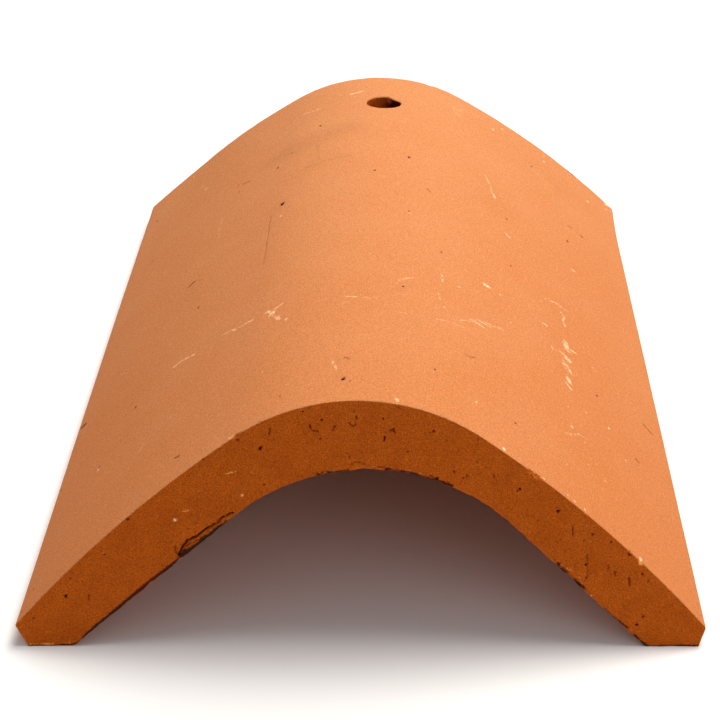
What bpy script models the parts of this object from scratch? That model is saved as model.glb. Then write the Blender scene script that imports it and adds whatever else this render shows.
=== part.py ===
"""A terracotta hog-back roof tile for hips and ridges, as one fired clay body.

Metres, +Z up. The tile rests on the flat undersides of its two eaves, its length runs along Y,
its wide tail end is at -Y and its narrower, lower head end, with the nail hole, is at +Y.
"""

from math import atan2, cos, hypot, radians, sin, tan

import bmesh
import bpy

MM = 0.001

# Driving sizes, in millimetres and degrees
LENGTH = 300.0
TAIL_WIDTH = 200.0
HEAD_WIDTH = 188.0
TAIL_HEIGHT = 75.2
HEAD_HEIGHT = 64.7
TAIL_CROWN_HALF_ANGLE = 34.7
HEAD_CROWN_HALF_ANGLE = 31.3
CROWN_RADIUS = 61.7
CROWN_WALL = 20.9
INNER_CROWN_RADIUS = 58.7
INNER_ARCH_OFFSET = 2.7
LEFT_EAVE_HEIGHT = 6.6
RIGHT_EAVE_HEIGHT = 5.9
LEFT_EAVE_UNDERCUT = 3.5
RIGHT_EAVE_UNDERCUT = 2.0
LEFT_EAVE_TO_INNER_CORNER = 16.8
RIGHT_EAVE_TO_INNER_CORNER = 17.5
TAIL_CUT_LEAN = 8.6
HEAD_CUT_LEAN = 5.1
NAIL_HOLE_DIAMETER = 13.5
NAIL_HOLE_FROM_HEAD = 29.5
NAIL_HOLE_OFFSET = 2.6

# How finely the arcs, the length and the nail hole are divided
CROWN_STEPS = 14
FLANK_STEPS = 12
LENGTH_STEPS = 11
NAIL_HOLE_STEPS = 40

# Faces that meet at more than this many degrees are shaded as an edge
SHARP_EDGE_ANGLE = 25.0

FIRED_CLAY = (0.62, 0.215, 0.07, 1.0)
CLAY_ROUGHNESS = 0.85


def clear_scene():
    for thing in list(bpy.data.objects):
        bpy.data.objects.remove(thing, do_unlink=True)


def clay_material():
    material = bpy.data.materials.new("fired_clay")
    material.use_nodes = True
    shader = material.node_tree.nodes["Principled BSDF"]
    shader.inputs["Base Color"].default_value = FIRED_CLAY
    shader.inputs["Roughness"].default_value = CLAY_ROUGHNESS
    shader.inputs["Metallic"].default_value = 0.0
    material.diffuse_color = FIRED_CLAY
    return material


def outer_half(half_width, height, eave_height, half_angle):
    """The outer curve from the crown to one eave corner: a crown arc, then a flatter flank arc."""
    points = []
    for step in range(CROWN_STEPS + 1):
        turn = half_angle * step / CROWN_STEPS
        points.append((CROWN_RADIUS * sin(turn), height - CROWN_RADIUS * (1.0 - cos(turn))))
    start_x, start_z = points[-1]
    chord_x = half_width - start_x
    chord_z = start_z - eave_height
    chord_fall = atan2(chord_z, chord_x)
    end_angle = 2.0 * chord_fall - half_angle
    flank_radius = hypot(chord_x, chord_z) / (2.0 * sin(chord_fall - half_angle))
    for step in range(1, FLANK_STEPS + 1):
        turn = half_angle + (end_angle - half_angle) * step / FLANK_STEPS
        across = start_x + flank_radius * (sin(turn) - sin(half_angle))
        drop = flank_radius * (cos(half_angle) - cos(turn))
        points.append((across, start_z - drop))
    return points


def inner_half(foot_reach, height):
    """The inner curve from the arch's top to one foot: an arc, then a straight flank tangent to it."""
    centre_z = height - CROWN_WALL - INNER_CROWN_RADIUS
    slant = hypot(foot_reach, centre_z)
    tangent = (slant**2 - INNER_CROWN_RADIUS**2) ** 0.5
    half_angle = atan2(INNER_CROWN_RADIUS, tangent) + atan2(centre_z, foot_reach)
    points = []
    for step in range(CROWN_STEPS + 1):
        turn = half_angle * step / CROWN_STEPS
        across = INNER_CROWN_RADIUS * sin(turn)
        points.append((across, centre_z + INNER_CROWN_RADIUS * cos(turn)))
    start_x, start_z = points[-1]
    for step in range(1, FLANK_STEPS + 1):
        share = step / FLANK_STEPS
        points.append((start_x + (foot_reach - start_x) * share, start_z * (1.0 - share)))
    return points


def over_the_arch(left_half, right_half, centre):
    """Two half curves joined into one, from the left edge over the top to the right edge."""
    left = [(centre - across, height) for across, height in reversed(left_half[1:])]
    right = [(centre + across, height) for across, height in right_half]
    return left + right


def section(share):
    """The closed outline of the tile's wall at a share of its length, 0 at the tail, 1 at the head."""
    half_width = (TAIL_WIDTH + (HEAD_WIDTH - TAIL_WIDTH) * share) / 2.0
    height = TAIL_HEIGHT + (HEAD_HEIGHT - TAIL_HEIGHT) * share
    half_angle = radians(
        TAIL_CROWN_HALF_ANGLE + (HEAD_CROWN_HALF_ANGLE - TAIL_CROWN_HALF_ANGLE) * share
    )
    outer = over_the_arch(
        outer_half(half_width, height, LEFT_EAVE_HEIGHT, half_angle),
        outer_half(half_width, height, RIGHT_EAVE_HEIGHT, half_angle),
        0.0,
    )
    inner = over_the_arch(
        inner_half(half_width - LEFT_EAVE_TO_INNER_CORNER + INNER_ARCH_OFFSET, height),
        inner_half(half_width - RIGHT_EAVE_TO_INNER_CORNER - INNER_ARCH_OFFSET, height),
        INNER_ARCH_OFFSET,
    )
    right_toe = (half_width - RIGHT_EAVE_UNDERCUT, 0.0)
    left_toe = (-half_width + LEFT_EAVE_UNDERCUT, 0.0)
    return outer + [right_toe] + inner[::-1] + [left_toe]


def along(share, height):
    """The place along the length, with the two cut ends leaning back from the feet to the crown."""
    tail = -LENGTH / 2.0 + height * tan(radians(TAIL_CUT_LEAN))
    head = LENGTH / 2.0 - height * tan(radians(HEAD_CUT_LEAN))
    return tail + (head - tail) * share


def tile_body(material):
    shell = bmesh.new()
    rings = []
    for step in range(LENGTH_STEPS + 1):
        share = step / LENGTH_STEPS
        ring = []
        for across, height in section(share):
            place = (across * MM, along(share, height) * MM, height * MM)
            ring.append(shell.verts.new(place))
        rings.append(ring)

    count = len(rings[0])
    for near, far in zip(rings, rings[1:]):
        for index in range(count):
            after = (index + 1) % count
            shell.faces.new((near[index], near[after], far[after], far[index]))

    # Each cut end is a band between the outer and the inner curve, with a toe at each foot
    top_count = 2 * (CROWN_STEPS + FLANK_STEPS) + 1
    for ring, is_tail in ((rings[0], True), (rings[-1], False)):
        outer = ring[:top_count]
        right_toe = ring[top_count]
        inner = ring[top_count + 1:2 * top_count + 1][::-1]
        left_toe = ring[-1]
        faces = [(outer[0], left_toe, inner[0]), (outer[-1], inner[-1], right_toe)]
        for index in range(top_count - 1):
            faces.append((outer[index], inner[index], inner[index + 1], outer[index + 1]))
        for corners in faces:
            shell.faces.new(corners if is_tail else corners[::-1])

    bmesh.ops.recalc_face_normals(shell, faces=shell.faces)
    mesh = bpy.data.meshes.new("roof_tile")
    shell.to_mesh(mesh)
    shell.free()
    mesh.shade_smooth()
    mesh.set_sharp_from_angle(angle=radians(SHARP_EDGE_ANGLE))
    mesh.materials.append(material)
    body = bpy.data.objects.new("roof_tile", mesh)
    bpy.context.scene.collection.objects.link(body)
    return body


def nail_hole(body):
    """A round hole punched straight down through the crown near the head."""
    crown_at_head = along(1.0, HEAD_HEIGHT)
    bpy.ops.mesh.primitive_cylinder_add(
        vertices=NAIL_HOLE_STEPS,
        radius=NAIL_HOLE_DIAMETER / 2.0 * MM,
        depth=2.0 * TAIL_HEIGHT * MM,
        location=(NAIL_HOLE_OFFSET * MM, (crown_at_head - NAIL_HOLE_FROM_HEAD) * MM, HEAD_HEIGHT * MM),
    )
    punch = bpy.context.object
    punch.name = "nail_hole_punch"
    punch.hide_render = True
    punch.display_type = "WIRE"
    cut = body.modifiers.new("nail_hole", "BOOLEAN")
    cut.operation = "DIFFERENCE"
    cut.object = punch


clear_scene()
roof_tile = tile_body(clay_material())
nail_hole(roof_tile)
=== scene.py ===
"""A thick terracotta hog-back roof tile on a plain pale studio floor."""

from math import atan2, cos, hypot, pi, radians, sin, tan

import bmesh
import bpy
import numpy as np
from mathutils import Matrix, Vector, noise
from mathutils.bvhtree import BVHTree


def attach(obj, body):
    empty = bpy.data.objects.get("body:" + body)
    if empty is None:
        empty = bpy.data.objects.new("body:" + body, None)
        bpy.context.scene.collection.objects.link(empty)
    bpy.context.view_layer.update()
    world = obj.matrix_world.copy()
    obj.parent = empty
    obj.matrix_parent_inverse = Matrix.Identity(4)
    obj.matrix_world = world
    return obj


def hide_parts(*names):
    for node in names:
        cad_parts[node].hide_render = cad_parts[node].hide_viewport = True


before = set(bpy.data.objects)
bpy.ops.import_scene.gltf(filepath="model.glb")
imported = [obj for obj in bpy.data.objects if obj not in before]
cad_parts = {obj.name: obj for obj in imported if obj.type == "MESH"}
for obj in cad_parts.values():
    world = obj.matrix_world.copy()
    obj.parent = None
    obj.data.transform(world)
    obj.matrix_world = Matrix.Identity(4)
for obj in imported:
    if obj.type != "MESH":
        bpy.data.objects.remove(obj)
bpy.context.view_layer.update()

# The camera stands behind the wide tail end of the tile, above its crown, and looks down along it.
# Its place and lens follow the photograph's perspective, so that the eaves, both cut ends and the
# round nail hole fall within a few pixels of where the photograph has them.
PHOTO_SIZE = 720.0
PHOTO_CENTRE = (400.0, 342.13)
FOCAL_PIXELS = 2195.1
SENSOR_WIDTH = 36.0
CAMERA_PLACE = Vector((0.02117, -0.67421, 0.37138))
CAMERA_FALL = radians(27.419)
CAMERA_TURN = radians(0.960)
CAMERA_ROLL = radians(-0.522)

camera_data = bpy.data.cameras.new("studio_camera")
camera_data.sensor_width = SENSOR_WIDTH
camera_data.lens = SENSOR_WIDTH * FOCAL_PIXELS / PHOTO_SIZE
camera_data.shift_x = (PHOTO_SIZE / 2.0 - PHOTO_CENTRE[0]) / PHOTO_SIZE
camera_data.shift_y = (PHOTO_CENTRE[1] - PHOTO_SIZE / 2.0) / PHOTO_SIZE
camera = bpy.data.objects.new("studio_camera", camera_data)
camera.matrix_world = (
    Matrix.Translation(CAMERA_PLACE)
    @ Matrix.Rotation(CAMERA_TURN, 4, "Z")
    @ Matrix.Rotation(radians(90.0) - CAMERA_FALL, 4, "X")
    @ Matrix.Rotation(CAMERA_ROLL, 4, "Z")
)
bpy.context.scene.collection.objects.link(camera)
bpy.context.scene.camera = camera

# The tile's body: one thick slab of clay, bent over a former while damp, with a rounded crown, two
# nearly straight flanks and flat feet. It tapers and drops a little towards the head end, and both
# ends were cut with a wire that leaned back from the feet to the crown. Sizes are in millimetres.
MM = 0.001
LENGTH = 300.0
TAIL_WIDTH = 200.0
HEAD_WIDTH = 188.0
TAIL_HEIGHT = 75.2
HEAD_HEIGHT = 64.7
TAIL_CROWN_HALF_ANGLE = 34.7
HEAD_CROWN_HALF_ANGLE = 31.3
CROWN_RADIUS = 61.7
CROWN_WALL = 20.9
INNER_CROWN_RADIUS = 58.7
INNER_ARCH_OFFSET = 2.7
LEFT_EAVE_HEIGHT = 6.6
RIGHT_EAVE_HEIGHT = 5.9
LEFT_EAVE_UNDERCUT = 3.5
RIGHT_EAVE_UNDERCUT = 2.0
LEFT_EAVE_TO_INNER_CORNER = 16.8
RIGHT_EAVE_TO_INNER_CORNER = 17.5
TAIL_CUT_LEAN = radians(8.6)
HEAD_CUT_LEAN = radians(5.1)

# How finely each arc, each whole curve and the length are sampled
ARC_SAMPLES = 60
SECTION_SAMPLES = 640
SECTION_STATIONS = 12

# The two sides of the wall in the tables below
OUTER_SIDE = 0
INNER_SIDE = 1


def outer_half(half_width, height, eave_height, half_angle):
    """The outer curve from the crown to one eave corner: a crown arc, then a flatter flank arc."""
    turns = np.linspace(0.0, half_angle, ARC_SAMPLES)
    crown = np.stack([CROWN_RADIUS * np.sin(turns), height - CROWN_RADIUS * (1.0 - np.cos(turns))], 1)
    start = crown[-1]
    chord = np.array([half_width - start[0], start[1] - eave_height])
    chord_fall = atan2(chord[1], chord[0])
    flank_radius = hypot(*chord) / (2.0 * sin(chord_fall - half_angle))
    turns = np.linspace(half_angle, 2.0 * chord_fall - half_angle, ARC_SAMPLES)[1:]
    across = start[0] + flank_radius * (np.sin(turns) - sin(half_angle))
    drop = flank_radius * (cos(half_angle) - np.cos(turns))
    return np.concatenate([crown, np.stack([across, start[1] - drop], 1)])


def inner_half(foot_reach, height):
    """The inner curve from the arch's top to one foot: an arc, then a straight flank tangent to it."""
    centre_z = height - CROWN_WALL - INNER_CROWN_RADIUS
    slant = hypot(foot_reach, centre_z)
    tangent = (slant**2 - INNER_CROWN_RADIUS**2) ** 0.5
    half_angle = atan2(INNER_CROWN_RADIUS, tangent) + atan2(centre_z, foot_reach)
    turns = np.linspace(0.0, half_angle, ARC_SAMPLES)
    arc = np.stack([INNER_CROWN_RADIUS * np.sin(turns), centre_z + INNER_CROWN_RADIUS * np.cos(turns)], 1)
    return np.concatenate([arc, [[foot_reach, 0.0]]])


def even_curve(left_half, right_half, centre, softening):
    """Both halves as one curve from the left foot to the right, evenly spaced, corners softened."""
    mirrored = left_half[:0:-1] * (-1.0, 1.0)
    curve = np.concatenate([mirrored, right_half]) + (centre, 0.0)
    reach = np.concatenate([[0.0], np.cumsum(np.hypot(*np.diff(curve, axis=0).T))])
    even = np.linspace(0.0, reach[-1], SECTION_SAMPLES)
    curve = np.stack([np.interp(even, reach, curve[:, 0]), np.interp(even, reach, curve[:, 1])], 1)
    for _ in range(softening):
        curve[1:-1] = (curve[:-2] + 2.0 * curve[1:-1] + curve[2:]) / 4.0
    return curve


def section(share):
    """The tile's outer and inner curves at a share of its length, 0 at the tail, 1 at the head."""
    half_width = (TAIL_WIDTH + (HEAD_WIDTH - TAIL_WIDTH) * share) / 2.0
    height = TAIL_HEIGHT + (HEAD_HEIGHT - TAIL_HEIGHT) * share
    half_angle = radians(
        TAIL_CROWN_HALF_ANGLE + (HEAD_CROWN_HALF_ANGLE - TAIL_CROWN_HALF_ANGLE) * share
    )
    left = outer_half(half_width, height, LEFT_EAVE_HEIGHT, half_angle)
    right = outer_half(half_width, height, RIGHT_EAVE_HEIGHT, half_angle)
    left = np.concatenate([left, [[half_width - LEFT_EAVE_UNDERCUT, 0.0]]])
    right = np.concatenate([right, [[half_width - RIGHT_EAVE_UNDERCUT, 0.0]]])
    outer = even_curve(left, right, centre=0.0, softening=1)
    left = inner_half(half_width - LEFT_EAVE_TO_INNER_CORNER + INNER_ARCH_OFFSET, height)
    right = inner_half(half_width - RIGHT_EAVE_TO_INNER_CORNER - INNER_ARCH_OFFSET, height)
    return outer, even_curve(left, right, centre=INNER_ARCH_OFFSET, softening=0)


# The sections, the way along their curves and the way from there into the clay
sections = np.array([section(station / SECTION_STATIONS) for station in range(SECTION_STATIONS + 1)])
slopes = np.gradient(sections, axis=2)
slopes /= np.linalg.norm(slopes, axis=3, keepdims=True)
inward = np.stack([slopes[..., 1], -slopes[..., 0]], 3)
inward[:, INNER_SIDE] *= -1.0


def read_sections(table, side, across, share):
    """Values of a table over the sections, at shares of the way across and along the tile."""
    column = np.clip(across, 0.0, 1.0) * (SECTION_SAMPLES - 1)
    row = np.clip(share, 0.0, 1.0) * SECTION_STATIONS
    left = np.minimum(column.astype(int), SECTION_SAMPLES - 2)
    near = np.minimum(row.astype(int), SECTION_STATIONS - 1)
    right_part = (column - left)[:, None]
    far_part = (row - near)[:, None]
    near_row = table[near, side, left] * (1.0 - right_part) + table[near, side, left + 1] * right_part
    far_row = table[near + 1, side, left] * (1.0 - right_part)
    far_row += table[near + 1, side, left + 1] * right_part
    return near_row * (1.0 - far_part) + far_row * far_part


def clay_places(shares):
    """Points in millimetres for shares of the way across, along and through the wall."""
    across, along, depth = shares.T
    outer = read_sections(sections, OUTER_SIDE, across, along)
    inner = read_sections(sections, INNER_SIDE, across, along)
    flat = outer + (inner - outer) * depth[:, None]
    height = flat[:, 1]
    tail = -LENGTH / 2.0 + height * tan(TAIL_CUT_LEAN)
    head = LENGTH / 2.0 - height * tan(HEAD_CUT_LEAN)
    return np.stack([flat[:, 0], tail + (head - tail) * along, height], 1)


def slab(cells_across, cells_along, cells_through):
    """The skin of the slab before bending: a thin box of square cells, each corner holding its shares."""
    shell = bmesh.new()
    corners = {}

    def corner(across, along, through):
        key = (across, along, through)
        if key not in corners:
            place = (across / cells_across, along / cells_along, through / cells_through)
            corners[key] = shell.verts.new(place)
        return corners[key]

    square = ((0, 0), (1, 0), (1, 1), (0, 1))
    for across in range(cells_across):
        for along in range(cells_along):
            for through in (0, cells_through):
                shell.faces.new([corner(across + a, along + b, through) for a, b in square])
    for across in range(cells_across):
        for through in range(cells_through):
            for along in (0, cells_along):
                shell.faces.new([corner(across + a, along, through + b) for a, b in square])
    for along in range(cells_along):
        for through in range(cells_through):
            for across in (0, cells_across):
                shell.faces.new([corner(across, along + a, through + b) for a, b in square])
    return shell


def skin_tree(shell):
    """The undisturbed skin in metres, to find where a ray from the camera meets the tile."""
    shell.verts.index_update()
    places = clay_places(np.array([vertex.co[:] for vertex in shell.verts])) * MM
    faces = [[vertex.index for vertex in face.verts] for face in shell.faces]
    return BVHTree.FromPolygons([Vector(place) for place in places], faces)


shell = slab(cells_across=84, cells_along=94, cells_through=6)
skin = skin_tree(shell)

# Where a ray misses the tile, the stretch of it that is searched for the nearest clay, in metres
SEARCH_START = 0.50
SEARCH_STEP = 0.01
SEARCH_STEPS = 60

MARK_POINTS_PER_PIXEL = 3.0


def on_tile(across, down):
    """The point of the tile, in millimetres, that the photograph shows at this pixel or nearest it."""
    ray = Vector((across - PHOTO_CENTRE[0], PHOTO_CENTRE[1] - down, -FOCAL_PIXELS)).normalized()
    ray.rotate(camera.matrix_world.to_quaternion())
    place = skin.ray_cast(CAMERA_PLACE, ray)[0]
    if place is None:
        reaches = [SEARCH_START + SEARCH_STEP * step for step in range(SEARCH_STEPS)]
        beside = [skin.find_nearest(CAMERA_PLACE + ray * reach) for reach in reaches]
        place = min(beside, key=lambda found: found[3])[0]
    return place / MM


def along_marks(points):
    """A mark's line over the tile's skin, as closely spaced points in millimetres."""
    places = []
    for near, far in zip(points, points[1:]):
        steps = int(MARK_POINTS_PER_PIXEL * hypot(far[0] - near[0], far[1] - near[1])) + 2
        for across, down in np.linspace(near, far, steps):
            places.append(on_tile(across, down))
    return np.array(places)


# The nail hole was punched down through the damp crown near the head end.
NAIL_HOLE_DIAMETER = 13.5
NAIL_HOLE_FROM_HEAD = 29.5
NAIL_HOLE_OFFSET = 2.6
hole_y = LENGTH / 2.0 - HEAD_HEIGHT * tan(HEAD_CUT_LEAN) - NAIL_HOLE_FROM_HEAD

# The marks of use and firing, each placed by its pixels in the photograph. Pits are where grit or
# lime fell or burned out, and gouges are knocks and drying cracks: each has its radius or width and
# its depth in millimetres, and is darkened inside, partly as dirt and partly as painted shade. The
# faint smudges are dark stains; the strong ones, above a strength of a half, are painted shade along
# the lower arrises, under chips and at the feet's bottom edges. Scuffs are pale scratches from
# stacking and specks are grains of lime. Smudges, scuffs and specks each have their radius or width
# in millimetres and then their strength.
PITS = (
    (282, 204, 0.75, 0.7), (277.5, 168, 0.5, 0.4), (409, 157, 0.5, 0.5), (375, 170, 0.4, 0.4),
    (441.6, 252, 0.4, 0.35), (403, 286, 0.33, 0.3), (342.8, 379, 0.6, 0.6), (350, 381, 0.3, 0.3),
    (198, 307.5, 0.45, 0.4), (597.3, 396, 0.35, 0.4), (151.7, 261, 0.45, 0.4), (156, 220.6, 0.45, 0.4),
    (178, 255, 0.3, 0.3), (567.8, 241, 0.45, 0.4), (582, 237, 0.4, 0.3), (511, 265.8, 0.35, 0.3),
    (506.8, 219, 0.35, 0.3), (531.5, 166.3, 0.4, 0.3), (320, 125.6, 0.4, 0.3), (515.7, 423, 0.34, 0.3),
    (435, 369, 0.34, 0.25), (99.3, 466.8, 0.35, 0.3), (135, 407.5, 0.35, 0.3), (279.7, 395.8, 0.3, 0.25),
    (291.5, 153, 0.35, 0.25), (239, 192, 0.35, 0.25), (408.9, 211, 0.3, 0.2), (29.6, 581.4, 0.3, 0.3),
    (33.5, 589, 0.35, 0.3), (611, 542, 0.4, 0.5), (629.3, 554.6, 0.6, 0.7), (203, 459.5, 0.4, 0.5),
    (128, 518.8, 0.45, 0.5), (122.8, 535.8, 0.3, 0.4), (33.5, 618, 0.4, 0.4),
    (322, 420, 0.35, 0.5), (335, 426.3, 0.35, 0.5), (320, 439, 0.3, 0.5), (383, 419, 0.4, 0.5),
    (354.5, 411.5, 0.25, 0.4), (433.5, 431.5, 0.45, 0.7), (302.5, 411.5, 0.35, 0.4),
    (429.6, 432.6, 0.3, 0.4), (425.5, 433, 0.25, 0.3), (446.6, 440.5, 0.25, 0.3), (237.3, 439.5, 0.4, 0.6),
    (260, 448.8, 0.55, 0.8), (261.5, 446.8, 0.4, 0.6), (230, 496, 0.35, 0.4), (187.5, 528.8, 0.35, 0.4),
    (147.5, 531, 0.3, 0.3), (105, 555, 0.3, 0.4), (70, 578.8, 0.35, 0.4), (65.6, 596.6, 0.6, 0.9),
    (349.4, 457, 0.4, 0.5), (346.5, 453, 0.3, 0.4), (263.8, 484.5, 0.35, 0.4), (437.4, 478.3, 0.5, 0.7),
    (454.4, 471.8, 0.4, 0.5), (463, 478.3, 0.45, 0.6), (467, 476, 0.35, 0.4), (519.7, 489.3, 0.5, 0.8),
    (517.4, 490.6, 0.35, 0.6), (558, 511.4, 0.5, 0.8), (538.4, 520.6, 0.35, 0.4), (593, 534.4, 0.4, 0.6),
    (583.8, 540, 0.3, 0.4), (585.4, 565, 0.4, 0.5), (586.4, 578, 0.4, 0.5), (648.6, 580.7, 0.3, 0.4),
    (642.3, 574.3, 0.45, 0.7), (643, 617, 0.45, 0.6), (637, 625, 0.5, 0.6), (175, 520.3, 0.75, 0.3),
    (127, 560, 0.3, 0.3), (200, 548, 0.3, 0.3), (275, 462, 0.3, 0.3), (408, 452, 0.3, 0.3),
    (476, 462, 0.3, 0.3), (494, 476, 0.35, 0.4), (560, 540, 0.3, 0.3), (660, 612, 0.3, 0.3),
)
# Faint entries are stains; strong entries are painted shade: dark slivers and lines along the lower
# arrises, under chips and at the feet's bottom edges
SMUDGES_AND_PAINTED_SHADE = (
    (((182, 556), (199, 545), (214, 534.5), (226, 525.5), (240, 515), (253, 505)), 2.5, 1.5),
    (((253, 505), (268, 495.5)), 1.6, 1.2), (((559, 568.5), (569, 577), (583, 589)), 2.0, 1.2),
    (((634, 636), (639, 641.5), (645, 645.5)), 1.8, 1.1), (((322, 475.5), (331, 474.5)), 1.6, 1.3),
    (((84, 638), (90, 631.5), (110, 615), (130, 598), (150, 581.5), (178, 560.5)), 1.5, 1.1),
    (((318, 477), (334, 475), (348, 471)), 1.4, 1.1),
    (((386, 470), (410, 473.5), (432, 480), (452, 488.5)), 1.5, 1.05),
    (((29, 646), (54, 646), (79, 643.5)), 0.9, 0.9), (((646, 646.5), (672, 646), (699, 645.5)), 0.9, 0.95),
    (((590, 599), (612, 617), (632, 635)), 1.1, 0.85),
    (((280, 156), (300, 147), (320, 138), (346, 128)), 20.0, 0.085),
    (((307, 167), (330, 159), (350, 155)), 3.4, 0.085),
    (((150, 262), (156, 240), (160, 222)), 9.0, 0.03),
    (((190, 290), (196, 300)), 8.0, 0.03),
    (((345, 358), (343, 378)), 5.0, 0.03),
    (((232, 250), (262, 232), (276, 206)), 9.0, 0.025),
    (((392, 292), (405, 288), (412, 284)), 4.0, 0.04),
    (((470, 118), (520, 150), (560, 190)), 14.0, 0.02),
    (((450, 190), (500, 205)), 16.0, 0.02),
)
GOUGES = (
    (((643.6, 424.5), (647, 428.5), (652.5, 434.5)), 0.8, 0.6),
    (((636, 459), (639, 462.5)), 0.7, 0.5), (((128.5, 407), (131, 404.5), (133.3, 402.3)), 0.5, 0.35),
    (((81.4, 428.0), (84.6, 425.0)), 1.7, 1.3),
    (((186, 288.5), (190, 286)), 0.6, 0.28), (((189.5, 286), (193, 282.5)), 1.2, 0.42),
    (((192.5, 283), (196, 281)), 0.6, 0.28), (((199, 280.5), (202.5, 279)), 0.5, 0.2),
    (((270.5, 216), (267, 240), (263.2, 264.5)), 0.5, 0.2),
    (((343, 358), (346, 357), (349, 358.5)), 0.5, 0.32),
    (((258, 421), (262, 422.5)), 0.45, 0.3),
    (((174.5, 458), (179, 456)), 0.65, 0.4),
    (((243, 184), (250, 181)), 0.5, 0.35), (((237, 187.5), (239, 184)), 0.4, 0.3),
    (((567.5, 226), (572, 228)), 0.5, 0.4), (((580.5, 234.5), (585, 239)), 0.45, 0.35),
    (((427, 188.5), (430.5, 192)), 0.45, 0.3),
    (((567.5, 170.5), (573, 175)), 0.7, 0.6),
    (((530.5, 471), (532.3, 476)), 0.5, 0.6),
    (((465, 353.5), (470, 357), (476, 357.5)), 0.5, 0.28),
    (((317.5, 146), (319, 159)), 0.3, 0.12),
    (((309.6, 425), (310.2, 428.5)), 0.5, 0.7), (((311, 430), (318, 431.5)), 0.35, 0.55),
    (((356.7, 417), (357.0, 418.5)), 0.45, 0.8), (((349, 422.5), (352, 426.5)), 0.35, 0.5),
    (((352.5, 426.5), (355.8, 424)), 0.3, 0.45), (((334, 427), (333, 430.5)), 0.35, 0.45),
    (((384.8, 437), (384.6, 440.5)), 0.5, 0.9), (((388.5, 431), (392, 430)), 0.35, 0.5),
    (((391, 430), (394, 428.5)), 0.35, 0.45), (((393.2, 429), (394.2, 432)), 0.5, 0.8),
    (((269.8, 428.5), (269.2, 434)), 0.45, 0.5),
    (((88.9, 594.5), (88.8, 599.5)), 0.45, 0.5),
    (((478, 436.5), (478, 441.5)), 0.4, 0.3),
    (((572.6, 525), (573, 535.7)), 0.4, 0.5),
    (((587.4, 555), (587.4, 577)), 0.3, 0.4),
    (((629.3, 577.5), (629.6, 585.3)), 0.45, 0.6),
    (((372.7, 434), (372.5, 447)), 0.3, 0.15),
    (((197, 520), (196.4, 485)), 0.3, 0.14),
    (((175, 546), (175.5, 552), (179.7, 556.6)), 0.4, 0.5),
    (((178, 556), (183, 546), (187.5, 540.5), (196, 536.6), (205, 530), (214.5, 523.5)), 0.55, 1.0),
    (((217, 523), (222, 518), (230, 513.5), (233, 513)), 0.5, 0.8),
    (((181, 554), (188, 545), (197, 539.5)), 0.4, 0.5),
    (((200, 536), (209, 530), (220, 522.5)), 0.35, 0.4),
    (((553, 560), (560, 565), (569, 573)), 0.5, 0.5), (((572, 577), (580, 585.5)), 0.6, 0.5),
    (((608, 565.5), (608.6, 569.5)), 0.4, 0.5), (((614.7, 571), (615.2, 575)), 0.35, 0.5),
    (((378, 466.5), (386, 468), (392, 469)), 0.4, 0.4), (((398, 471.5), (408, 474)), 0.35, 0.4),
    (((412, 475), (420, 477.5), (427, 480)), 0.4, 0.4), (((430, 475.5), (437, 479.5)), 0.4, 0.5),
    (((351, 464.5), (356, 461.5), (364, 463.5)), 0.35, 0.4),
)
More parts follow.
